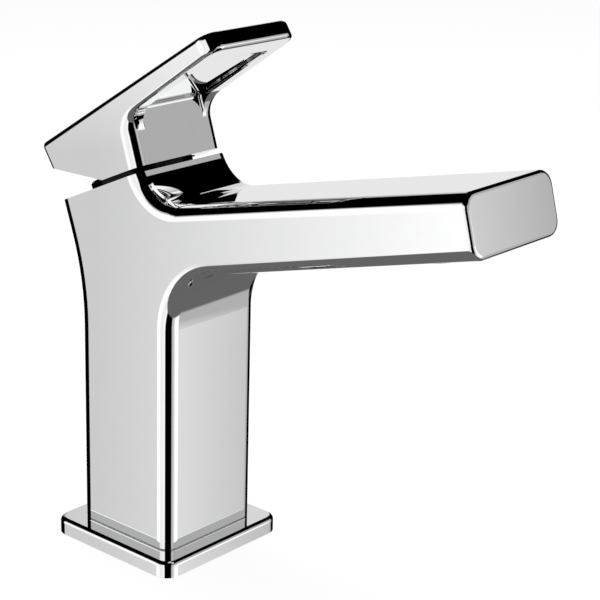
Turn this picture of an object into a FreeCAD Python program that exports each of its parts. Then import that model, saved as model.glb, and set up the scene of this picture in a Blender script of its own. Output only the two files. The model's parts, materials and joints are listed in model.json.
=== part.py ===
import FreeCAD, Part
import Sketcher
import os

# Single-lever basin mixer. Millimetres, +Z up, +X along the spout.
# The origin is the centre of the base plate's underside, on the deck.

DIMENSIONS = {
    # Base plate and deck gasket
    "plate_side": 50.0,
    "plate_height": 5.0,
    "plate_corner": 4.6,
    "plate_edge": 1.4,
    "gasket_height": 1.5,
    "gasket_inner": 17.0,
    "gasket_outer": 21.0,
    # Column, spout and neck, seen from the side
    "column_side": 38.2,
    "edge_radius": 4.4,
    "inner_corner_height": 91.96,
    "spout_low_x": 125.5,
    "spout_low_z": 120.8,
    "spout_high_x": 120.8,
    "spout_high_z": 137.8,
    "spout_rise": 13.4,
    "neck_lean": 31.2,
    "neck_tilt": 24.4,
    "neck_depth": 36.8,
    "seam_x": -10.46,
    "seam_z": 113.4,
    "rear_bend_z": 83.0,
    "inner_bend": 21.5,
    "neck_bend": 12.5,
    "rear_bend": 80.0,
    "tip_edge": 1.3,
    "foot_edge": 0.5,
    # Foot of the body: spigot, hose inlets and stud hole
    "spigot_radius": 15.5,
    "spigot_lift": 0.5,
    "slip_gap": 0.2,
    "inlet_radius": 4.5,
    "inlet_depth": 14.0,
    "inlet_x": -3.0,
    "inlet_y": 8.5,
    "channel_radius": 3.5,
    "stud_radius": 3.4,
    "stud_depth": 25.0,
    "stud_x": 9.0,
    # Cartridge chamber, heights measured down the neck axis from the seam
    "nut_seat_depth": 9.0,
    "nut_seat_step": 0.5,
    "chamber_gap": 0.4,
    "chamber_depth": 32.0,
    # Water duct and aerator in the spout
    "duct_width": 26.0,
    "duct_thick": 8.0,
    "duct_rise": 14.6,
    "duct_start_x": 6.0,
    "duct_start_z": 95.0,
    "outlet_x": 109.0,
    "outlet_bore_radius": 11.0,
    "outlet_depth": 10.5,
    # Aerator pieces
    "aerator_gap": 0.1,
    "aerator_flange_radius": 11.3,
    "aerator_flange_height": 0.85,
    "aerator_flange_edge": 0.4,
    "aerator_thread_height": 9.0,
    "aerator_inner_radius": 9.0,
    "aerator_lip_radius": 8.2,
    "aerator_lip_height": 0.8,
    "insert_height": 6.0,
    "insert_hole_radius": 0.9,
    "insert_pitch": 2.9,
    "screen_height": 0.8,
    # Cartridge pieces
    "base_radius": 12.6,
    "base_height": 3.6,
    "base_lift": 0.4,
    "port_radius": 2.5,
    "port_s": -3.5,
    "port_y": 5.0,
    "seal_radius": 3.9,
    "seal_height": 1.6,
    "fixed_disc_radius": 10.5,
    "fixed_disc_height": 3.0,
    "moving_disc_radius": 8.6,
    "moving_disc_height": 3.0,
    "mixing_radius": 6.4,
    "mixing_depth": 1.5,
    "carrier_height": 4.0,
    "disc_offset": 1.63,
    "housing_inner_radius": 11.0,
    "housing_flange_height": 2.0,
    "housing_mouth_radius": 9.0,
    "window_width": 9.0,
    "window_height": 6.0,
    "running_gap": 0.06,
    "rotor_gap": 0.5,
    "rotor_top": 5.0,
    "rotor_slot_length": 13.2,
    "rotor_slot_width": 8.4,
    "pivot_depth": 10.0,
    "pin_radius": 1.5,
    "pin_length": 16.0,
    "nut_height": 6.0,
    "nut_inner_radius": 9.8,
    "nut_slot_width": 3.0,
    "nut_slot_depth": 1.6,
    "cover_radius": 15.7,
    "cover_height": 2.6,
    "cover_edge": 0.6,
    "cover_inner_radius": 11.0,
    # Spindle
    "spindle_side": 8.0,
    "spindle_foot": 6.0,
    "spindle_top": 15.5,
    "boss_width": 7.8,
    "boss_radius": 4.0,
    "rod_radius": 2.2,
    "ball_radius": 2.5,
    "ball_sink": 0.5,
    "ball_gap": 0.4,
    # Handle, seen from the side
    "handle_width": 35.4,
    "handle_gap": 1.65,
    "handle_rear_top_x": -36.7,
    "handle_rear_top_z": 121.5,
    "handle_rear_low_x": -32.3,
    "handle_rear_low_z": 115.0,
    "relief_s": 1.6,
    "handle_bend_x": 0.93,
    "handle_bend_z": 136.84,
    "lever_low_x": 34.8,
    "lever_low_z": 160.3,
    "lever_high_x": 31.6,
    "lever_high_z": 165.0,
    "handle_bend": 7.5,
    "handle_edge": 4.4,
    "lever_edge": 1.2,
    "lever_corner": 5.0,
    "handle_top_edge": 1.6,
    "cavity_radius": 16.6,
    "cavity_height": 11.0,
    "socket_boss_radius": 6.6,
    "socket_boss_height": 7.5,
    "socket_gap": 0.1,
    # Finger recess under the lever
    "recess_width": 25.0,
    "recess_ramp_x": 31.0,
    "recess_ramp_z": 156.6,
    "recess_front_x": 25.0,
    "recess_front_z": 154.57,
    "recess_roof_x": 0.25,
    "recess_roof_z": 138.45,
    "recess_foot_x": 2.75,
    "recess_foot_z": 131.3,
    "recess_reach": 12.0,
    "recess_bend": 1.5,
    "recess_edge": 0.9,
    # Set screw and index plug at the rear of the handle
    "screw_radius": 2.4,
    "screw_length": 8.0,
    "key_radius": 1.2,
    "key_depth": 3.0,
    "plug_radius": 2.7,
    "plug_length": 2.5,
    # How far a cutting tool runs past the face that it cuts
    "cut_past": 1.0,
}

# Lengths in millimetres below which two places count as the same
SAME = 1e-3

doc = FreeCAD.newDocument("basin_mixer")
sheet = doc.addObject("Spreadsheet::Sheet", "dims")
for row, (alias, number) in enumerate(DIMENSIONS.items(), start=1):
    sheet.set(f"A{row}", alias)
    sheet.set(f"B{row}", repr(number))
    sheet.setAlias(f"B{row}", alias)
doc.recompute()

subparts = []


def bound(formula):
    """Write a formula in sheet names as a document expression."""
    words = formula.split()
    text = " ".join("dims." + word if word in DIMENSIONS else word for word in words)
    for function in ("sin", "cos", "tan"):
        text = text.replace(function + " (", function + "(")
    return text


def value(formula):
    """The present value of a formula in sheet names."""
    return float(sheet.evalExpression(bound(formula).replace("dims.", "")))


def bind(target, **formulas):
    """Tie properties to sheet formulas; a double underscore stands for a dot."""
    for key, formula in formulas.items():
        target.setExpression(key.replace("__", "."), bound(formula))


def keep(piece, label):
    """Name a finished sub-part and list it for writing."""
    piece.Label = label
    subparts.append(piece)
    return piece


# Frames: the neck frame has z along the cartridge axis and x along the seam,
# the outlet frame has z up into the spout, square to its underside.

UNDERSIDE_RISE = (
    "atan ( ( spout_low_z - inner_corner_height ) / ( spout_low_x - column_side / 2 ) )"
)
OUTLET_Z = (
    "inner_corner_height + ( outlet_x - column_side / 2 )"
    " * ( spout_low_z - inner_corner_height ) / ( spout_low_x - column_side / 2 )"
)


def put_in_neck(piece, s="0", y="0", h="0"):
    """Stand a piece in the neck frame at distance s along the seam and height h."""
    piece.Placement = FreeCAD.Placement(FreeCAD.Vector(), FreeCAD.Rotation(FreeCAD.Vector(0, 1, 0), -1))
    bind(
        piece,
        Placement__Base__x=f"seam_x + ( {s} ) * cos ( neck_tilt ) - ( {h} ) * sin ( neck_tilt )",
        Placement__Base__y=y,
        Placement__Base__z=f"seam_z + ( {s} ) * sin ( neck_tilt ) + ( {h} ) * cos ( neck_tilt )",
        Placement__Rotation__Angle="0 - neck_tilt",
    )
    return piece


def put_in_outlet(piece, x="0", y="0", h="0"):
    """Stand a piece in the outlet frame, x forward along the underside and h inward."""
    piece.Placement = FreeCAD.Placement(FreeCAD.Vector(), FreeCAD.Rotation(FreeCAD.Vector(0, 1, 0), -1))
    rise = UNDERSIDE_RISE
    bind(
        piece,
        Placement__Base__x=f"outlet_x + ( {x} ) * cos ( {rise} ) - ( {h} ) * sin ( {rise} )",
        Placement__Base__y=y,
        Placement__Base__z=f"{OUTLET_Z} + ( {x} ) * sin ( {rise} ) + ( {h} ) * cos ( {rise} )",
        Placement__Rotation__Angle=f"-1 * {rise}",
    )
    return piece


# Sketches and bodies

def origin_plane(body, role):
    """One of a body's own origin planes, by its role."""
    return next(item for item in body.Origin.OriginFeatures if item.Role == role)


def pin_point(sketch, line, axis, formula):
    """Fix one coordinate of a line's start point to a formula."""
    number = value(formula)
    kind = "Distance" + axis
    if abs(number) < SAME:
        sketch.addConstraint(Sketcher.Constraint("PointOnObject", line, 1, -2 if axis == "X" else -1))
        return
    if number > 0:
        index = sketch.addConstraint(Sketcher.Constraint(kind, -1, 1, line, 1, number))
        sketch.setExpression(f"Constraints[{index}]", bound(formula))
    else:
        index = sketch.addConstraint(Sketcher.Constraint(kind, line, 1, -1, 1, -number))
        sketch.setExpression(f"Constraints[{index}]", bound(f"0 - ( {formula} )"))


def polygon(body, name, role, points):
    """A closed outline whose corners are tied to formulas."""
    sketch = body.newObject("Sketcher::SketchObject", name)
    sketch.AttachmentSupport = [(origin_plane(body, role), "")]
    sketch.MapMode = "FlatFace"
    corners = [FreeCAD.Vector(value(x), value(y), 0) for x, y in points]
    count = len(corners)
    for index, corner in enumerate(corners):
        sketch.addGeometry(Part.LineSegment(corner, corners[(index + 1) % count]), False)
    for index in range(count):
        sketch.addConstraint(Sketcher.Constraint("Coincident", index, 2, (index + 1) % count, 1))
    for index, (x, y) in enumerate(points):
        pin_point(sketch, index, "X", x)
        pin_point(sketch, index, "Y", y)
    return sketch


def prism(name, role, points, length):
    """A body made by padding an outline evenly to both sides of its plane."""
    body = doc.addObject("PartDesign::Body", name)
    sketch = polygon(body, name + "_outline", role, points)
    pad = body.newObject("PartDesign::Pad", name + "_pad")
    pad.Profile = sketch
    pad.SideType = "Symmetric"
    bind(pad, Length=length)
    sketch.Visibility = False
    doc.recompute()
    return body


def turned(name, points):
    """A body of revolution about its own z axis; points are radius and height."""
    body = doc.addObject("PartDesign::Body", name)
    sketch = polygon(body, name + "_section", "XZ_Plane", points)
    turn = body.newObject("PartDesign::Revolution", name + "_turn")
    turn.Profile = sketch
    turn.ReferenceAxis = (sketch, ["V_Axis"])
    turn.Angle = 360
    doc.recompute()
    return body


def ring(name, inner, outer, low, high):
    """A plain ring, or a disc where the inner radius is zero."""
    return turned(name, [(inner, low), (outer, low), (outer, high), (inner, high)])


def fillet(body, name, radius, wanted):
    """Round the edges of a body's last feature that a test picks by their midpoint and box."""
    doc.recompute()
    base = body.Tip
    picked = [f"Edge{number}" for number, edge in enumerate(base.Shape.Edges, start=1) if wanted(edge)]
    feature = body.newObject("PartDesign::Fillet", name)
    feature.Base = (base, picked)
    bind(feature, Radius=radius)
    doc.recompute()
    return feature


def cylinder(name, radius, height):
    tool = doc.addObject("Part::Cylinder", name)
    bind(tool, Radius=radius, Height=height)
    return tool


def box(name, length, width, height):
    tool = doc.addObject("Part::Box", name)
    bind(tool, Length=length, Width=width, Height=height)
    return tool


def joined(name, pieces):
    """Fuse several pieces into one."""
    fuse = doc.addObject("Part::MultiFuse", name)
    fuse.Shapes = pieces
    fuse.Refine = True
    return fuse


def cut(name, base, tools):
    """Take tools away from a base piece, one after another."""
    result = base
    for number, tool in enumerate(tools, start=1):
        step = doc.addObject("Part::Cut", f"{name}_cut{number}")
        step.Base = result
        step.Tool = tool
        result = step
    doc.recompute()
    return result


def along_y(edge):
    """True for a straight edge that runs across the object."""
    span = edge.BoundBox
    return span.YLength > SAME and span.XLength < SAME and span.ZLength < SAME


def near(edge, x, z, reach=0.6):
    """True where an edge's middle lies close to a point of the side profile."""
    middle = edge.BoundBox.Center
    return abs(middle.x - x) < reach and abs(middle.z - z) < reach


# Body: the side profile padded to the column's width, then rounded

SEAM_FRONT = (
    "seam_x + neck_depth / 2 * cos ( neck_tilt )",
    "seam_z + neck_depth / 2 * sin ( neck_tilt )",
)
SEAM_REAR = (
    "seam_x - neck_depth / 2 * cos ( neck_tilt )",
    "seam_z - neck_depth / 2 * sin ( neck_tilt )",
)
HALF_COLUMN = "column_side / 2"
NECK_RUN = (
    f"( {SEAM_FRONT[1]} - spout_high_z + ( spout_high_x - ( {SEAM_FRONT[0]} ) ) * tan ( spout_rise ) )"
    " / ( cos ( neck_lean ) + sin ( neck_lean ) * tan ( spout_rise ) )"
)
NECK_CORNER = (
    f"{SEAM_FRONT[0]} + {NECK_RUN} * sin ( neck_lean )",
    f"{SEAM_FRONT[1]} - {NECK_RUN} * cos ( neck_lean )",
)


def on_side(edge, half):
    """True for an edge that lies in one of the two flat sides, half a width from the middle."""
    span = edge.BoundBox
    return span.YLength < SAME and abs(abs(span.Center.y) - value(half)) < SAME


def distance_to_line(point, start, end):
    """Distance of a point from a line of the side profile."""
    dx, dz = end[0] - start[0], end[1] - start[1]
    return abs((point.x - start[0]) * dz - (point.z - start[1]) * dx) / (dx * dx + dz * dz) ** 0.5


def lies_on(edge, start, end):
    """True where a whole edge lies on a line of the side profile."""
    return all(distance_to_line(vertex.Point, start, end) < SAME for vertex in edge.Vertexes)


def numbers(point):
    return value(point[0]), value(point[1])


def make_body():
    tip_low = ("spout_low_x", "spout_low_z")
    tip_high = ("spout_high_x", "spout_high_z")
    inner_corner = (HALF_COLUMN, "inner_corner_height")
    rear_corner = (f"0 - {HALF_COLUMN}", "rear_bend_z")
    foot = [(f"0 - {HALF_COLUMN}", "plate_height"), (HALF_COLUMN, "plate_height")]
    outline = foot + [inner_corner, tip_low, tip_high, NECK_CORNER, SEAM_FRONT, SEAM_REAR, rear_corner]
    shell = prism("shell", "XZ_Plane", outline, "column_side")
    bends = [
        ("inner", inner_corner, "inner_bend"),
        ("neck", NECK_CORNER, "neck_bend"),
        ("rear", rear_corner, "rear_bend"),
    ]
    for name, corner, radius in bends:
        x, z = numbers(corner)
        fillet(shell, f"shell_{name}_bend", radius, lambda edge: along_y(edge) and near(edge, x, z))
    square_ends = [(numbers(a), numbers(b)) for a, b in ((SEAM_FRONT, SEAM_REAR), (tip_low, tip_high), foot)]

    def rounded(edge):
        return on_side(edge, HALF_COLUMN) and not any(lies_on(edge, *line) for line in square_ends)

    fillet(shell, "shell_edges", "edge_radius", rounded)
    tip = square_ends[1]
    fillet(shell, "shell_tip_edge", "tip_edge", lambda edge: lies_on(edge, *tip))
    fillet(shell, "shell_foot_edge", "foot_edge", lambda edge: lies_on(edge, *square_ends[2]))
    return shell


CHAMBER_RADIUS = "base_radius + chamber_gap"
NUT_BORE_RADIUS = f"{CHAMBER_RADIUS} + nut_seat_step"


def make_body_cuts():
    """Chamber, hose inlets, stud hole, duct and outlet bore."""
    nut_bore = cylinder("nut_bore", NUT_BORE_RADIUS, "nut_seat_depth + cut_past")
    put_in_neck(nut_bore, h="0 - nut_seat_depth")
    chamber = put_in_neck(cylinder("chamber", CHAMBER_RADIUS, "chamber_depth"), h="0 - chamber_depth")
    tools = [nut_bore, chamber]
    port_x = "seam_x + port_s * cos ( neck_tilt ) + chamber_depth * sin ( neck_tilt )"
    port_z = "seam_z + port_s * sin ( neck_tilt ) - chamber_depth * cos ( neck_tilt ) + cut_past"
    channel_low = "spigot_lift + inlet_depth - 2 * cut_past"
    for side, hand in (("hot", 1), ("cold", -1)):
        inlet = cylinder(f"{side}_inlet", "inlet_radius", "inlet_depth")
        bind(inlet, Placement__Base__x="inlet_x", Placement__Base__y=f"{hand} * inlet_y")
        bind(inlet, Placement__Base__z="spigot_lift")
        channel = doc.addObject("Part::Feature", f"{side}_channel")
        start = FreeCAD.Vector(value("inlet_x"), hand * value("inlet_y"), value(channel_low))
        end = FreeCAD.Vector(value(port_x), hand * value("port_y"), value(port_z))
        run = end - start
        channel.Shape = Part.makeCylinder(value("channel_radius"), run.Length, start, run)
        tools += [inlet, channel]
    stud = cylinder("stud_hole", "stud_radius", "stud_depth")
    bind(stud, Placement__Base__x="stud_x", Placement__Base__z="spigot_lift")
    duct = box("duct", "( outlet_x - duct_start_x ) / cos ( duct_rise )", "duct_width", "duct_thick")
    duct.Placement = FreeCAD.Placement(FreeCAD.Vector(), FreeCAD.Rotation(FreeCAD.Vector(0, 1, 0), -1))
    bind(duct, Placement__Rotation__Angle="0 - duct_rise", Placement__Base__x="duct_start_x")
    bind(duct, Placement__Base__y="0 - duct_width / 2", Placement__Base__z="duct_start_z")
    outlet = cylinder("outlet_bore", "outlet_bore_radius", "outlet_depth + 2 * cut_past")
    put_in_outlet(outlet, h="-2 * cut_past")
    return tools + [stud, duct, outlet]


def body_piece():
    shell = make_body()
    spigot = cylinder("spigot", "spigot_radius", "plate_height - spigot_lift + cut_past")
    bind(spigot, Placement__Base__z="spigot_lift")
    keep(cut("body", joined("body_blank", [shell, spigot]), make_body_cuts()), "body")


# Base plate and gasket

def base_pieces():
    half = "plate_side / 2"
    square = [(f"0 - {half}", f"0 - {half}"), (half, f"0 - {half}"), (half, half), (f"0 - {half}", half)]
    plate = doc.addObject("PartDesign::Body", "plate")
    sketch = polygon(plate, "plate_outline", "XY_Plane", square)
    pad = plate.newObject("PartDesign::Pad", "plate_pad")
    pad.Profile = sketch
    bind(pad, Length="plate_height")
    height = value("plate_height")
    fillet(plate, "plate_corners", "plate_corner", lambda edge: edge.BoundBox.ZLength > height / 2)
    fillet(plate, "plate_edges", "plate_edge", lambda edge: edge.BoundBox.ZMin > height - SAME)
    hole = cylinder("plate_hole", "spigot_radius + slip_gap", "plate_height")
    groove = ring("gasket_groove", "gasket_inner", "gasket_outer", "0", "gasket_height")
    keep(cut("base_plate", plate, [hole, groove]), "base_plate")
    keep(ring("gasket", "gasket_inner", "gasket_outer", "0", "gasket_height"), "base_gasket")


# Cartridge: stack of pieces in the neck frame, from the chamber floor upwards

BASE_LOW = "0 - chamber_depth + base_lift"
BASE_TOP = "0 - chamber_depth + base_lift + base_height"
FIXED_TOP = f"{BASE_TOP} + fixed_disc_height"
MOVING_TOP = f"{FIXED_TOP} + moving_disc_height"
CARRIER_TOP = f"{MOVING_TOP} + carrier_height"
BALL_HEIGHT = f"{CARRIER_TOP} - ball_sink"
PORT_SIDES = (("hot", "port_y"), ("cold", "0 - port_y"))


def port_holes(name, radius, low, height):
    """A pair of round holes at the hot and cold ports."""
    return [
        put_in_neck(cylinder(f"{name}_{side}", radius, height), s="port_s", y=y, h=low)
        for side, y in PORT_SIDES
    ]


def cartridge_base_pieces():
    base = put_in_neck(ring("base_disc", "0", "base_radius", BASE_LOW, BASE_TOP))
    floor = "0 - chamber_depth"
    ports = port_holes("base_port", "port_radius", floor, "base_height + 2 * cut_past")
    seats = port_holes("seal_seat", "seal_radius", floor, "seal_height")
    keep(cut("cartridge_base", base, ports + seats), "cartridge_base")
    rings = []
    outsides = port_holes("seal_outside", "seal_radius", floor, "seal_height")
    insides = port_holes("seal_inside", "port_radius", floor, "seal_height")
    for number, (outside, inside) in enumerate(zip(outsides, insides), start=1):
        rings.append(cut(f"inlet_seal{number}", outside, [inside]))
    seals = doc.addObject("Part::Compound", "inlet_seals")
    seals.Links = rings
    keep(seals, "inlet_seals")
    disc = put_in_neck(ring("fixed_disc_blank", "0", "fixed_disc_radius", BASE_TOP, FIXED_TOP))
    ports = port_holes("fixed_port", "port_radius", BASE_TOP, "fixed_disc_height + cut_past")
    keep(cut("fixed_disc", disc, ports), "fixed_disc")


def sliding_pieces():
    """The moving disc and its carrier, set back by half their travel at rest."""
    shift = "0 - disc_offset"
    disc = turned("moving_disc_turned", [
        ("0", f"{FIXED_TOP} + mixing_depth"),
        ("mixing_radius", f"{FIXED_TOP} + mixing_depth"),
        ("mixing_radius", FIXED_TOP),
        ("moving_disc_radius", FIXED_TOP),
        ("moving_disc_radius", MOVING_TOP),
        ("0", MOVING_TOP),
    ])
    keep(put_in_neck(disc, s=shift), "moving_disc")
    carrier = put_in_neck(ring("carrier_blank", "0", "moving_disc_radius", MOVING_TOP, CARRIER_TOP), s=shift)
    low = f"{BALL_HEIGHT} - ball_radius - ball_gap"
    socket = cylinder("ball_socket", "ball_radius + ball_gap", "carrier_height + 2 * cut_past")
    put_in_neck(socket, h=low)
    keep(cut("disc_carrier", carrier, [socket]), "disc_carrier")


HOUSING_TOP = "0 - nut_seat_depth"
FLANGE_LOW = f"{HOUSING_TOP} - housing_flange_height"
ROTOR_LOW = f"{CARRIER_TOP} + rotor_gap"


def housing_pieces():
    housing = put_in_neck(turned("housing_turned", [
        ("housing_inner_radius", BASE_TOP),
        ("base_radius", BASE_TOP),
        ("base_radius", HOUSING_TOP),
        ("housing_mouth_radius", HOUSING_TOP),
        ("housing_mouth_radius", FLANGE_LOW),
        ("housing_inner_radius", FLANGE_LOW),
    ]))
    window = box("outlet_window", "base_radius * 2", "window_width", "window_height")
    put_in_neck(window, s="0", y="0 - window_width / 2", h=FIXED_TOP)
    keep(cut("cartridge_housing", housing, [window]), "cartridge_housing")
    thread = f"{NUT_BORE_RADIUS} - running_gap"
    nut_top = f"{HOUSING_TOP} + nut_height"
    nut = put_in_neck(ring("nut_blank", "nut_inner_radius", thread, HOUSING_TOP, nut_top))
    slot = box("nut_slot", f"( {NUT_BORE_RADIUS} ) * 2", "nut_slot_width", "nut_slot_depth + cut_past")
    slot_start = f"0 - ( {NUT_BORE_RADIUS} )"
    put_in_neck(slot, s=slot_start, y="0 - nut_slot_width / 2", h=f"{nut_top} - nut_slot_depth")
    keep(cut("retaining_nut", nut, [slot]), "retaining_nut")
    cover = turned("cover", [
        ("cover_inner_radius", nut_top),
        (thread, nut_top),
        (thread, "0"),
        ("cover_radius", "0"),
        ("cover_radius", "cover_height - cover_edge"),
        ("cover_radius - cover_edge", "cover_height"),
        ("cover_inner_radius", "cover_height"),
    ])
    keep(put_in_neck(cover), "cover_ring")


def across(name, radius, length):
    """A cylinder that lies across the neck on the lift axis."""
    rod = cylinder(name, radius, length)
    rod.Placement = FreeCAD.Placement(FreeCAD.Vector(), FreeCAD.Rotation(FreeCAD.Vector(1, 0, 0), -90))
    bind(
        rod,
        Placement__Base__x="seam_x + pivot_depth * sin ( neck_tilt )",
        Placement__Base__y=f"0 - ( {length} ) / 2",
        Placement__Base__z="seam_z - pivot_depth * cos ( neck_tilt )",
    )
    return rod


def rotor_pieces():
    rotor = put_in_neck(turned("rotor_turned", [
        ("0", ROTOR_LOW),
        ("housing_inner_radius - running_gap", ROTOR_LOW),
        ("housing_inner_radius - running_gap", f"{FLANGE_LOW} - running_gap"),
        ("housing_mouth_radius - running_gap", f"{FLANGE_LOW} - running_gap"),
        ("housing_mouth_radius - running_gap", "0 - rotor_top"),
        ("0", "0 - rotor_top"),
    ]))
    slot = box("rotor_slot", "rotor_slot_length", "rotor_slot_width", "chamber_depth")
    put_in_neck(slot, s="0 - rotor_slot_length / 2", y="0 - rotor_slot_width / 2", h="0 - chamber_depth")
    pin_hole = across("rotor_pin_hole", "pin_radius", "pin_length")
    keep(cut("rotor", rotor, [slot, pin_hole]), "rotor")
    keep(across("pin", "pin_radius", "pin_length"), "pivot_pin")


def spindle_piece():
    half = "0 - spindle_side / 2"
    stem = box("stem", "spindle_side", "spindle_side", "spindle_top + spindle_foot")
    put_in_neck(stem, s=half, y=half, h="0 - spindle_foot")
    boss = across("spindle_boss", "boss_radius", "boss_width")
    web = box("spindle_web", "boss_radius * 2", "boss_width", "pivot_depth - spindle_foot + cut_past")
    put_in_neck(web, s="0 - boss_radius", y="0 - boss_width / 2", h="0 - pivot_depth")
    rod_length = f"0 - pivot_depth - ( {BALL_HEIGHT} )"
    rod = put_in_neck(cylinder("spindle_rod", "rod_radius", rod_length), h=BALL_HEIGHT)
    ball = doc.addObject("Part::Sphere", "spindle_ball")
    bind(ball, Radius="ball_radius")
    put_in_neck(ball, h=BALL_HEIGHT)
    blank = joined("spindle_blank", [stem, boss, web, rod, ball])
    hole = across("spindle_pin_hole", "pin_radius + running_gap", "boss_width + 2 * cut_past")
    keep(cut("spindle", blank, [hole]), "spindle")


# Handle

HANDLE_FRONT = (
    f"{SEAM_FRONT[0]} - handle_gap * sin ( neck_tilt )",
    f"{SEAM_FRONT[1]} + handle_gap * cos ( neck_tilt )",
)
HANDLE_APEX = (
    "seam_x + relief_s * cos ( neck_tilt ) - handle_gap * sin ( neck_tilt )",
    "seam_z + relief_s * sin ( neck_tilt ) + handle_gap * cos ( neck_tilt )",
)

HALF_HANDLE = "handle_width / 2"
REAR_MID_X = "( ( handle_rear_top_x + handle_rear_low_x ) / 2 - seam_x )"
REAR_MID_Z = "( ( handle_rear_top_z + handle_rear_low_z ) / 2 - seam_z )"
REAR_S = f"{REAR_MID_X} * cos ( neck_tilt ) + {REAR_MID_Z} * sin ( neck_tilt )"
SCREW_HEIGHT = f"{REAR_MID_Z} * cos ( neck_tilt ) - {REAR_MID_X} * sin ( neck_tilt )"


def along_bend(edge, bend):
    """True for the round edges at the sides of a bend with a given radius."""
    if edge.Curve.TypeId != "Part::GeomCircle":
        return False
    return abs(edge.Curve.Radius - value(bend)) < SAME


def make_handle():
    rear_top = ("handle_rear_top_x", "handle_rear_top_z")
    rear_low = ("handle_rear_low_x", "handle_rear_low_z")
    bend = ("handle_bend_x", "handle_bend_z")
    lever_low = ("lever_low_x", "lever_low_z")
    lever_high = ("lever_high_x", "lever_high_z")
    outline = [rear_top, rear_low, HANDLE_APEX, HANDLE_FRONT, bend, lever_low, lever_high]
    handle = prism("handle_block", "XZ_Plane", outline, "handle_width")
    x, z = numbers(bend)
    fillet(handle, "handle_inner_bend", "handle_bend", lambda edge: along_y(edge) and near(edge, x, z))
    front = (numbers(lever_low), numbers(lever_high))

    def in_side(edge):
        return on_side(edge, HALF_HANDLE)

    fillet(handle, "lever_corners", "lever_corner", lambda edge: in_side(edge) and lies_on(edge, *front))
    face = (numbers(HANDLE_FRONT), numbers(bend))
    under = (numbers(bend), numbers(lever_low))
    top = (numbers(rear_top), numbers(lever_high))
    rear = (numbers(rear_top), numbers(rear_low))
    doc.recompute()
    base_radius = value("handle_edge")
    lever_radius = value("lever_edge")
    top_radius = value("handle_top_edge")
    rounds = []
    for number, edge in enumerate(handle.Shape.Edges, start=1):
        if lies_on(edge, *top) or (in_side(edge) and lies_on(edge, *rear)):
            rounds.append((number, top_radius, top_radius))
        elif in_side(edge) and lies_on(edge, *face):
            rounds.append((number, base_radius, base_radius))
        elif lies_on(edge, *under) and not along_bend(edge, "handle_bend"):
            rounds.append((number, lever_radius, lever_radius))
        elif in_side(edge) and along_bend(edge, "handle_bend"):
            first, last = edge.valueAt(edge.FirstParameter), edge.valueAt(edge.LastParameter)
            rising = first.z < last.z
            ends = (base_radius, lever_radius) if rising else (lever_radius, base_radius)
            rounds.insert(0, (number, *ends))
    rounded = doc.addObject("Part::Fillet", "handle_rounded")
    rounded.Base = handle
    rounded.Edges = rounds
    doc.recompute()
    return rounded


def finger_recess():
    ramp = ("recess_ramp_x", "recess_ramp_z")
    front = ("recess_front_x", "recess_front_z")
    roof = ("recess_roof_x", "recess_roof_z")
    foot = ("recess_foot_x", "recess_foot_z")
    outside = ("recess_ramp_x", "recess_ramp_z - recess_reach")
    recess = prism("recess", "XZ_Plane", [ramp, front, roof, foot, outside], "recess_width")
    x, z = numbers(roof)
    fillet(recess, "recess_inner_bend", "recess_bend", lambda edge: along_y(edge) and near(edge, x, z))
    lines = [(numbers(a), numbers(b)) for a, b in ((ramp, front), (front, roof), (roof, foot))]

    def inside(edge):
        straight = any(lies_on(edge, *line) for line in lines)
        return on_side(edge, "recess_width / 2") and (straight or along_bend(edge, "recess_bend"))

    fillet(recess, "recess_sides", "recess_edge", inside)
    return recess


def along_seam(piece, start, h):
    """Lay a cylinder along the seam direction, from a distance s at height h."""
    piece.Placement = FreeCAD.Placement(FreeCAD.Vector(), FreeCAD.Rotation(FreeCAD.Vector(0, 1, 0), 1))
    bind(
        piece,
        Placement__Base__x=f"seam_x + ( {start} ) * cos ( neck_tilt ) - ( {h} ) * sin ( neck_tilt )",
        Placement__Base__z=f"seam_z + ( {start} ) * sin ( neck_tilt ) + ( {h} ) * cos ( neck_tilt )",
        Placement__Rotation__Angle="90 - neck_tilt",
    )
    return piece


def handle_pieces():
    cavity = put_in_neck(ring("cavity", "socket_boss_radius", "cavity_radius", "0", "cavity_height"))
    under_boss = put_in_neck(cylinder("under_boss", "cavity_radius - cut_past", "socket_boss_height"))
    side = "spindle_side + 2 * socket_gap"
    socket = box("socket", side, side, "spindle_top + socket_gap")
    put_in_neck(socket, s=f"0 - ( {side} ) / 2", y=f"0 - ( {side} ) / 2")
    face = "0 - spindle_side / 2"
    hole_radius = "screw_radius + running_gap"
    outside = f"{REAR_S} - 2 * cut_past"
    hole = cylinder("screw_hole", hole_radius, f"{face} - ( {outside} ) + cut_past")
    along_seam(hole, outside, SCREW_HEIGHT)
    seat = cylinder("plug_seat", "plug_radius + running_gap", "plug_length + 3 * cut_past")
    along_seam(seat, f"{REAR_S} - 3 * cut_past", SCREW_HEIGHT)
    tools = [cavity, under_boss, socket, joined("screw_way", [hole, seat]), finger_recess()]
    keep(cut("handle", make_handle(), tools), "handle")
    screw = cylinder("screw", "screw_radius", "screw_length")
    along_seam(screw, f"{face} - screw_length", SCREW_HEIGHT)
    key = along_seam(cylinder("screw_key", "key_radius", "key_depth"), f"{face} - screw_length", SCREW_HEIGHT)
    keep(cut("set_screw", screw, [key]), "set_screw")
    keep(along_seam(cylinder("plug", "plug_radius", "plug_length"), REAR_S, SCREW_HEIGHT), "index_plug")


# Aerator, in the outlet frame

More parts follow.
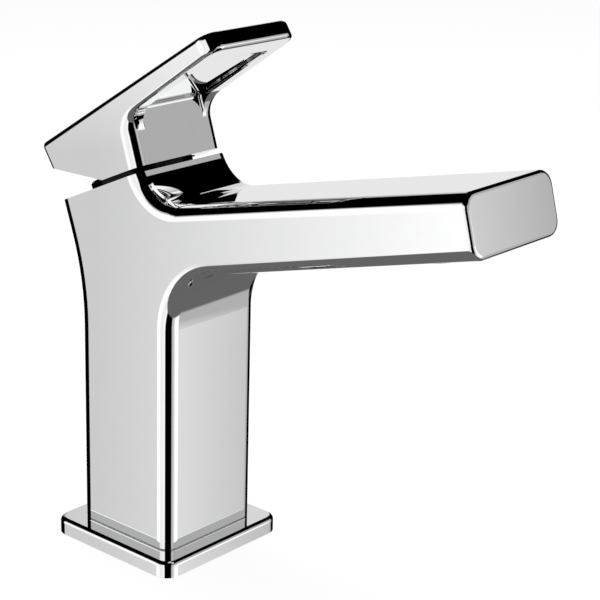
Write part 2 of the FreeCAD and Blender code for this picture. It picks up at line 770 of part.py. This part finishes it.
def aerator_pieces():
    thread = "outlet_bore_radius - aerator_gap"
    low = "0 - aerator_flange_height"
    lip_top = f"{low} + aerator_lip_height"
    housing = turned("aerator_shell", [
        ("aerator_lip_radius", low),
        ("aerator_flange_radius - aerator_flange_edge", low),
        ("aerator_flange_radius", f"{low} + aerator_flange_edge"),
        ("aerator_flange_radius", "0"),
        (thread, "0"),
        (thread, "aerator_thread_height"),
        ("aerator_inner_radius", "aerator_thread_height"),
        ("aerator_inner_radius", lip_top),
        ("aerator_lip_radius", lip_top),
    ])
    keep(put_in_outlet(housing), "aerator_housing")
    insert_radius = "aerator_inner_radius - aerator_gap"
    blank = put_in_outlet(ring("insert_blank", "0", insert_radius, lip_top, f"{lip_top} + insert_height"))
    jets = []
    for column in (-2, -1, 0, 1, 2):
        for line in (-2, -1, 0, 1, 2):
            if abs(column) + abs(line) > 3:
                continue
            jet = cylinder(f"jet_{len(jets)}", "insert_hole_radius", "insert_height + 2 * cut_past")
            jets.append(put_in_outlet(jet, x=f"{column} * insert_pitch", y=f"{line} * insert_pitch", h=low))
    keep(cut("aerator_insert", blank, [joined("jets", jets)]), "aerator_insert")
    screen_low = f"{lip_top} + insert_height"
    screen = ring("screen_blank", "0", insert_radius, screen_low, f"{screen_low} + screen_height")
    put_in_outlet(screen)
    meshes = []
    for column in range(-3, 4):
        for line in range(-3, 4):
            if abs(column) + abs(line) > 4:
                continue
            mesh = f"screen_gap_{len(meshes)}"
            gap = cylinder(mesh, "insert_hole_radius / 2", "screen_height + 2 * cut_past")
            place = dict(x=f"{column} * insert_pitch / 1.5", y=f"{line} * insert_pitch / 1.5")
            meshes.append(put_in_outlet(gap, h=f"{screen_low} - cut_past", **place))
    keep(cut("aerator_screen", screen, [joined("screen_gaps", meshes)]), "aerator_screen")
    washer = ring("washer", "aerator_lip_radius", thread, "aerator_thread_height", "outlet_depth")
    keep(put_in_outlet(washer), "aerator_washer")


body_piece()
base_pieces()
cartridge_base_pieces()
sliding_pieces()
housing_pieces()
rotor_pieces()
spindle_piece()
handle_pieces()
aerator_pieces()
doc.recompute()

for item in doc.Objects:
    if {"Invalid", "Error"} & set(item.State):
        raise RuntimeError(f"{item.Label} failed: {item.State}")
for piece in subparts:
    if piece.Shape.isNull() or not piece.Shape.isValid():
        raise RuntimeError(f"{piece.Label} has no valid shape")

os.makedirs("parts", exist_ok=True)
for piece in subparts:
    piece.Shape.exportStep(f"parts/{piece.Label}.step")
    print(piece.Label, len(piece.Shape.Solids), round(piece.Shape.Volume, 1))
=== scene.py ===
# %% [markdown]
# A chromed single-lever basin mixer, dressed for a studio picture.
# The solid pieces arrive ready made, with all their rounded edges, and stay where they are.
# What is left to do here is the finish of each piece, the room around it, the light and the camera.

# %% Load the solid pieces
import json
import math

import bpy
from mathutils import Matrix, Vector

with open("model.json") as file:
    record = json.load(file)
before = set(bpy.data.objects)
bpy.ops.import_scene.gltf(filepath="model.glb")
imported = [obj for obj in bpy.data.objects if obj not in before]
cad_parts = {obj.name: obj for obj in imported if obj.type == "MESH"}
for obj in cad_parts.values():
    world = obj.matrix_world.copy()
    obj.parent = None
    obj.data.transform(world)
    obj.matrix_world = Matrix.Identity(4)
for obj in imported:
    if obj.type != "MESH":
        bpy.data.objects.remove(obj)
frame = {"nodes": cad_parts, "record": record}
nodes = frame["nodes"]
scene = bpy.context.scene
scene.view_settings.view_transform = "Standard"
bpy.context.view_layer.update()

# %% [markdown]
# Shader maths reads best as plain sums.
# The nodes could be placed and linked one by one, but then a short sum takes a page.
# Here one small class wraps a socket, so that `1 - mask` or `a * b` adds the Math node by itself.
# Every other node comes from one method that takes its type, its settings and its socket values.


# %% A socket that can be added, taken away and multiplied
class Signal:
    """A shader output whose arithmetic makes Math nodes."""

    def __init__(self, paint, socket):
        self.paint = paint
        self.socket = socket

    def maths(self, operation, first, second):
        return self.paint.node("ShaderNodeMath", {"operation": operation}, {0: first, 1: second})

    def __add__(self, other):
        return self.maths("ADD", self, other)

    __radd__ = __add__

    def __sub__(self, other):
        return self.maths("SUBTRACT", self, other)

    def __rsub__(self, other):
        return self.maths("SUBTRACT", other, self)

    def __mul__(self, other):
        return self.maths("MULTIPLY", self, other)

    __rmul__ = __mul__


print("a signal adds, subtracts and multiplies")


# %% A node tree that fills itself
class Paint:
    """A node tree that is being filled."""

    def __init__(self, tree):
        self.tree = tree
        tree.nodes.clear()

    def node(self, kind, settings=None, sockets=None, output=0):
        """Add a node, set it up, fill its sockets and give back one of its outputs, if it has any."""
        made = self.tree.nodes.new(kind)
        for key, setting in (settings or {}).items():
            setattr(made, key, setting)
        for key, content in (sockets or {}).items():
            if isinstance(content, Signal):
                self.tree.links.new(content.socket, made.inputs[key])
            else:
                made.inputs[key].default_value = content
        return Signal(self, made.outputs[output]) if len(made.outputs) else None

    def size_of(self, factor):
        """A number without its sign."""
        return self.node("ShaderNodeMath", {"operation": "ABSOLUTE"}, {0: factor})

    def ramp(self, factor, low, high):
        """Rise smoothly from 0 to 1 as the factor goes from low to high."""
        limits = {"Value": factor, "From Min": low, "From Max": high}
        return self.node("ShaderNodeMapRange", {"interpolation_type": "SMOOTHSTEP"}, limits)

    def slope(self, factor, low, high):
        """Rise in a straight line from 0 to 1 as the factor goes from low to high."""
        limits = {"Value": factor, "From Min": low, "From Max": high}
        return self.node("ShaderNodeMapRange", {}, limits)

    def blend(self, factor, first, second):
        """Mix two colours by a factor. The Mix node keeps its colours in sockets 6 and 7 and output 2."""
        sockets = {0: factor, 6: first, 7: second}
        return self.node("ShaderNodeMix", {"data_type": "RGBA"}, sockets, output=2)


def new_finish(name):
    """A new material, and its empty node tree to fill."""
    material = bpy.data.materials.new(name)
    material.use_nodes = True
    return material, Paint(material.node_tree)


print("shader helpers are ready")

# %% [markdown]
# Chrome has almost no colour of its own: it is the room that shows in it.
# A real plated casting still has faint wipe marks and a fine grain left by the polishing wheel.
# A bump could show them, but it would break up the reflections.
# Two noises that stir the colour and the roughness a little are enough.
# Turned brass and steel get more of them.

# %% How a metal's gloss wanders
WIPE_MARKS = (0.42, 0.68)
FINE_GRAIN = 22.0
FINE_SHARE = 0.5


def metal(name, colour, shade, rough, spread, grain=60.0):
    """A polished or machined metal whose gloss wanders by a little over the surface.

    Roughness is the rough value, plus spread where a wipe mark lies, plus a share of spread by the fine grain.
    """
    material, paint = new_finish(name)
    place = paint.node("ShaderNodeTexCoord", output="Object")
    broad = paint.node("ShaderNodeTexNoise", {}, {"Vector": place, "Scale": grain, "Detail": 2.0})
    close = {"Vector": place, "Scale": grain * FINE_GRAIN, "Detail": 3.0}
    fine = paint.node("ShaderNodeTexNoise", {}, close)
    marks = paint.ramp(broad, *WIPE_MARKS)
    shader = paint.node("ShaderNodeBsdfPrincipled", {}, {
        "Base Color": paint.blend(marks, colour, shade),
        "Metallic": 1.0,
        "Roughness": rough + marks * spread + fine * (spread * FINE_SHARE),
    })
    paint.node("ShaderNodeOutputMaterial", {}, {"Surface": shader})
    return material


print("wipe marks are lit between", WIPE_MARKS)

# %% Metals
chrome = metal(
    "polished_chrome", colour=(0.955, 0.957, 0.96, 1), shade=(0.945, 0.948, 0.952, 1),
    rough=0.012, spread=0.006, grain=240.0)
# Painted shade: the dark_chrome slot gets a nearly black copy of the chrome, so those chrome pieces are painted
# dark rather than shaded by the light.
dark_chrome = metal(
    "painted_shade_chrome", colour=(0.015, 0.015, 0.016, 1), shade=(0.01, 0.01, 0.011, 1),
    rough=0.08, spread=0.05)
brass = metal(
    "turned_brass", colour=(0.76, 0.56, 0.24, 1), shade=(0.62, 0.43, 0.17, 1),
    rough=0.22, spread=0.14, grain=180.0)
steel = metal(
    "turned_steel", colour=(0.62, 0.62, 0.63, 1), shade=(0.48, 0.48, 0.5, 1),
    rough=0.26, spread=0.14, grain=220.0)
print("metals:", chrome.name, dark_chrome.name, brass.name, steel.name)

# %% [markdown]
# Rubber, moulded plastic and fired ceramic are all plain to the eye, and most of them sit inside the mixer.
# One flat colour would do from afar, but it looks lifeless close by.
# So a fine noise breaks up the colour and the gloss, and a slight bump gives the moulded skin.

# %% How a moulded surface is mottled
MOTTLE = (0.35, 0.7)
SKIN_HEIGHT = 0.0002


def moulded(name, colour, shade, rough, spread, grain, skin):
    """A non-metal with a mottled colour, an uneven gloss and a fine skin.

    One noise drives all three: the mix of the two colours, the spread of the roughness and the bump's height.
    """
    material, paint = new_finish(name)
    place = paint.node("ShaderNodeTexCoord", output="Object")
    speck = paint.node("ShaderNodeTexNoise", {}, {"Vector": place, "Scale": grain, "Detail": 4.0})
    mottle = paint.ramp(speck, *MOTTLE)
    height = {"Strength": skin, "Distance": SKIN_HEIGHT, "Height": speck}
    shader = paint.node("ShaderNodeBsdfPrincipled", {}, {
        "Base Color": paint.blend(mottle, colour, shade),
        "Roughness": rough + mottle * spread,
        "Normal": paint.node("ShaderNodeBump", {}, height),
    })
    paint.node("ShaderNodeOutputMaterial", {}, {"Surface": shader})
    return material


print("moulded skin is up to", SKIN_HEIGHT, "m high")

# %% Soft and moulded materials
rubber = moulded(
    "black_rubber", colour=(0.025, 0.025, 0.027, 1), shade=(0.04, 0.04, 0.042, 1),
    rough=0.55, spread=0.2, grain=900.0, skin=0.25)
white_plastic = moulded(
    "white_acetal", colour=(0.8, 0.8, 0.77, 1), shade=(0.74, 0.74, 0.71, 1),
    rough=0.38, spread=0.15, grain=700.0, skin=0.1)
blue_plastic = moulded(
    "blue_acetal", colour=(0.09, 0.19, 0.4, 1), shade=(0.07, 0.15, 0.33, 1),
    rough=0.36, spread=0.15, grain=700.0, skin=0.1)
grey_plastic = moulded(
    "grey_plug", colour=(0.3, 0.3, 0.31, 1), shade=(0.25, 0.25, 0.26, 1),
    rough=0.4, spread=0.15, grain=800.0, skin=0.12)
ceramic = moulded(
    "lapped_ceramic", colour=(0.9, 0.89, 0.86, 1), shade=(0.84, 0.83, 0.8, 1),
    rough=0.12, spread=0.06, grain=500.0, skin=0.02)
print("moulded:", rubber.name, white_plastic.name, blue_plastic.name, grey_plastic.name, ceramic.name)

# %% [markdown]
# On the bench every piece has one finish: the outside is chromed, the cartridge is plastic with ceramic discs.
# The record names a slot for each piece, so dressing them is a walk through the record.
# That way a piece can't be forgotten, and a finish is changed in one place.

# %% Dress the solid pieces
FINISHES = {
    "chrome": chrome,
    "dark_chrome": dark_chrome,
    "brass": brass,
    "rubber": rubber,
    "cartridge_plastic": white_plastic,
    "rotor_plastic": blue_plastic,
    "ceramic": ceramic,
    "steel": steel,
    "grey_plastic": grey_plastic,
}
for subpart in frame["record"]["subparts"]:
    piece = nodes[subpart["node"]]
    piece.data.materials.clear()
    piece.data.materials.append(FINISHES[subpart["material_slot"]])

# %% [markdown]
# The room is what chrome is made of.
# A photographer hangs bright cloth around the part and sets dark boards, called flags, between the cloths.
# Real planes with light on them could stand here too, but they would throw shadows and show in other views.
# So the room is painted on the world: each direction has an azimuth and an elevation, in degrees.

# %% Directions in the room
DEGREES = 180.0 / math.pi
world = bpy.data.worlds.new("studio")
scene.world = world
world.use_nodes = True
room = Paint(world.node_tree)
direction = room.node("ShaderNodeTexCoord", output="Generated")
east, north, height = (
    room.node("ShaderNodeSeparateXYZ", {}, {0: direction}, output=axis) for axis in range(3))
turn = room.node("ShaderNodeMath", {"operation": "ARCTAN2"}, {0: north, 1: east}) * DEGREES
lift = room.node("ShaderNodeMath", {"operation": "ARCSINE"}, {0: height}) * DEGREES
print("the room is read by azimuth and elevation")

# %% One board
BOARD_END = 3.0
LEAN_SPAN = 20.0


def flag(middle, half, soft, depth, low, high, lean=0.0):
    """A board that dims the wall around an azimuth and between two elevations.

    It is full within half degrees of its middle and fades over a soft edge.
    Where it leans, its middle moves over by up to lean degrees from the low to the high end of the lean's span.
    """
    gap = turn - lean * room.slope(lift, -LEAN_SPAN, LEAN_SPAN) - middle
    wrapped = room.node("ShaderNodeMath", {"operation": "WRAP"}, {0: gap, 1: 180.0, 2: -180.0})
    wide = 1.0 - room.slope(room.size_of(wrapped), half, half + soft)
    bottom = room.slope(lift, low - BOARD_END, low + BOARD_END)
    top = room.slope(lift, high - BOARD_END, high + BOARD_END)
    return 1.0 - wide * (bottom * (1.0 - top)) * depth


print("a board fades over", 2 * BOARD_END, "degrees at its ends")

# %% [markdown]
# A rounded edge of the mixer sweeps through many directions of the room in a few millimetres.
# A black board there draws a thin black line along the edge, and a grey one gives a flat face its tone.
# Each board is named after what it draws in the picture.

# %% The boards
NADIR = -90.0
ZENITH = 90.0
BLACK = 1.0
# Middle, half width and soft edge in azimuth, depth, lowest and highest elevation, and the lean if there is one.
BOARDS = {
    "line on the near corners": (-39.0, 23.0, 6.0, BLACK, NADIR, ZENITH),
    "fade beside that line": (-8.0, 8.0, 16.0, 0.5, NADIR, ZENITH),
    "faint grey for a straight side view": (-90.0, 9.0, 12.0, 0.15, NADIR, ZENITH),
    "line on the far corners": (95.0, 27.0, 3.0, BLACK, -29.0, ZENITH),
    "line on the far corner's foot": (87.0, 16.0, 5.0, BLACK, -40.0, -26.0),
    "line on the rear edges": (178.0, 37.0, 3.0, BLACK, NADIR, -5.0),
    "line on the top edges": (189.0, 26.0, 5.0, BLACK, -12.0, ZENITH),
    "fade beside the top line": (172.0, 12.0, 24.0, BLACK, -5.0, ZENITH),
    "grey of the spout's end": (60.0, 10.3, 9.2, 0.57, NADIR, 6.0, 9.0),
    "grey of the column's side": (-150.0, 12.5, 12.0, 0.4, NADIR, -11.0),
    "grey of the spout's top": (128.0, 20.0, 6.0, 0.22, -60.0, 12.0),
    "grey of the plate's top": (138.0, 20.0, 6.0, 0.33, 12.0, ZENITH),
    "grey of the handle's front": (45.0, 35.0, 10.0, 0.59, 6.0, ZENITH),
    "grey high at the rear": (-145.0, 35.0, 10.0, 0.56, 20.0, ZENITH),
}
flags = [flag(*board) for board in BOARDS.values()]
print("boards:", ", ".join(BOARDS))

# %% [markdown]
# The wall ends at a dark ceiling, which makes the lever's end face black.
# In front of the spout the wall reaches higher than elsewhere, so that the bends that face it still catch light.
# Far below the horizon the room is a dim floor, and it gives the underside of the spout its dark grey.

# %% Walls, ceiling and floor of the room
WALL_LEVEL = 1.05
FLOOR_LEVEL = 0.13
CEILING_EDGE = (31.0, 32.5)
FLOOR_EDGE = (-39.0, -36.0)
FRONT_AZIMUTH = 35.0
FRONT_EDGE = (15.0, 21.0)
FRONT_RAISED = 6.0
FRONT_STEP = 10.0
front = room.size_of(turn - FRONT_AZIMUTH)
raised = FRONT_RAISED - FRONT_STEP * room.slope(front, *FRONT_EDGE)
walls = WALL_LEVEL - WALL_LEVEL * room.ramp(lift - raised, *CEILING_EDGE)
for board in flags:
    walls = walls * board
below = 1.0 - room.ramp(lift, *FLOOR_EDGE)
tone = walls * (1.0 - below) + FLOOR_LEVEL * below
print("wall level:", WALL_LEVEL, "ceiling from", CEILING_EDGE[0], "degrees")

# %% [markdown]
# A catalogue picture has a plain white ground.
# The camera sees white where it looks past the part, and only the part sees the room.

# %% Light the room
seen = room.node("ShaderNodeLightPath", output="Is Camera Ray")
level = seen + (1.0 - seen) * tone
background = room.node("ShaderNodeBackground", {}, {"Color": (1, 1, 1, 1), "Strength": level})
room.node("ShaderNodeOutputWorld", {}, {"Surface": background})
print("nodes in the room:", len(world.node_tree.nodes))

# %% [markdown]
# The floor is pale and plain, and runs far past the picture so that no edge shows.
# Lighting it up to white would flood the chrome with light.
# So the camera sees it mostly as a glow, and the rest is a matte floor that keeps a faint contact shadow.

# %% Floor
FLOOR_HALF = 6.0
FLOOR_DROP = 0.0002
GLOW_SHARE = 0.92
corners = [(-FLOOR_HALF, -FLOOR_HALF, 0), (FLOOR_HALF, -FLOOR_HALF, 0),
           (FLOOR_HALF, FLOOR_HALF, 0), (-FLOOR_HALF, FLOOR_HALF, 0)]
floor_mesh = bpy.data.meshes.new("floor")
floor_mesh.from_pydata(corners, [], [(0, 1, 2, 3)])
floor = bpy.data.objects.new("floor", floor_mesh)
scene.collection.objects.link(floor)
floor.location.z = -FLOOR_DROP
floor.visible_glossy = False
pale, ground = new_finish("pale_floor")
share = ground.node("ShaderNodeLightPath", output="Is Camera Ray") * GLOW_SHARE
matte = ground.node("ShaderNodeBsdfDiffuse", {}, {"Color": (0.9, 0.9, 0.9, 1)})
glow = ground.node("ShaderNodeEmission", {}, {"Color": (1, 1, 1, 1), "Strength": 1.0})
mixed = ground.node("ShaderNodeMixShader", {}, {0: share, 1: matte, 2: glow})
ground.node("ShaderNodeOutputMaterial", {}, {"Surface": mixed})
floor_mesh.materials.append(pale)
print("floor is", 2 * FLOOR_HALF, "m wide")

# %% [markdown]
# One large soft lamp overhead throws the faint shadow under the mixer.
# A small lamp would draw a hard shadow. This one is wide, and it is hidden from the chrome,
# so that the reflections come from the room alone.

# %% Lamp
lamp_data = bpy.data.lights.new("overhead", "AREA")
lamp_data.shape = "DISK"
lamp_data.size = 0.9
lamp_data.energy = 30.0
lamp = bpy.data.objects.new("overhead", lamp_data)
scene.collection.objects.link(lamp)
lamp.location = (0.1, 0.1, 1.2)
lamp.visible_glossy = False
print("lamp power in watts:", lamp_data.energy)

# %% [markdown]
# The camera stands in front and to the side, a little above the spout, with a long lens.
# It could be aimed with a constraint, but the picture is also rolled by a degree or two.
# So azimuth, elevation and roll turn it, and the focal length is given in pixels of a 600 pixel frame.

# %% Camera
AZIMUTH = math.radians(40.715)
ELEVATION = math.radians(18.684)
ROLL = math.radians(1.558)
FOCAL_PIXELS = 1796.685
FRAME_PIXELS = 600.0
STAND = Vector((0.36683, -0.36489, 0.25228))
back = Vector((math.sin(AZIMUTH) * math.cos(ELEVATION),
               -math.cos(AZIMUTH) * math.cos(ELEVATION), math.sin(ELEVATION)))
level_right = Vector((math.cos(AZIMUTH), math.sin(AZIMUTH), 0.0))
level_up = back.cross(level_right)
right = math.cos(ROLL) * level_right + math.sin(ROLL) * level_up
up = -math.sin(ROLL) * level_right + math.cos(ROLL) * level_up
camera_data = bpy.data.cameras.new("camera")
camera_data.sensor_width = 36.0
camera_data.sensor_fit = "HORIZONTAL"
camera_data.lens = camera_data.sensor_width * FOCAL_PIXELS / FRAME_PIXELS
camera_data.clip_start = 0.01
camera = bpy.data.objects.new("camera", camera_data)
scene.collection.objects.link(camera)
turned = Matrix((right, up, back)).transposed().to_4x4()
camera.matrix_world = Matrix.Translation(STAND) @ turned
scene.camera = camera
print("lens in mm:", round(camera_data.lens, 2))
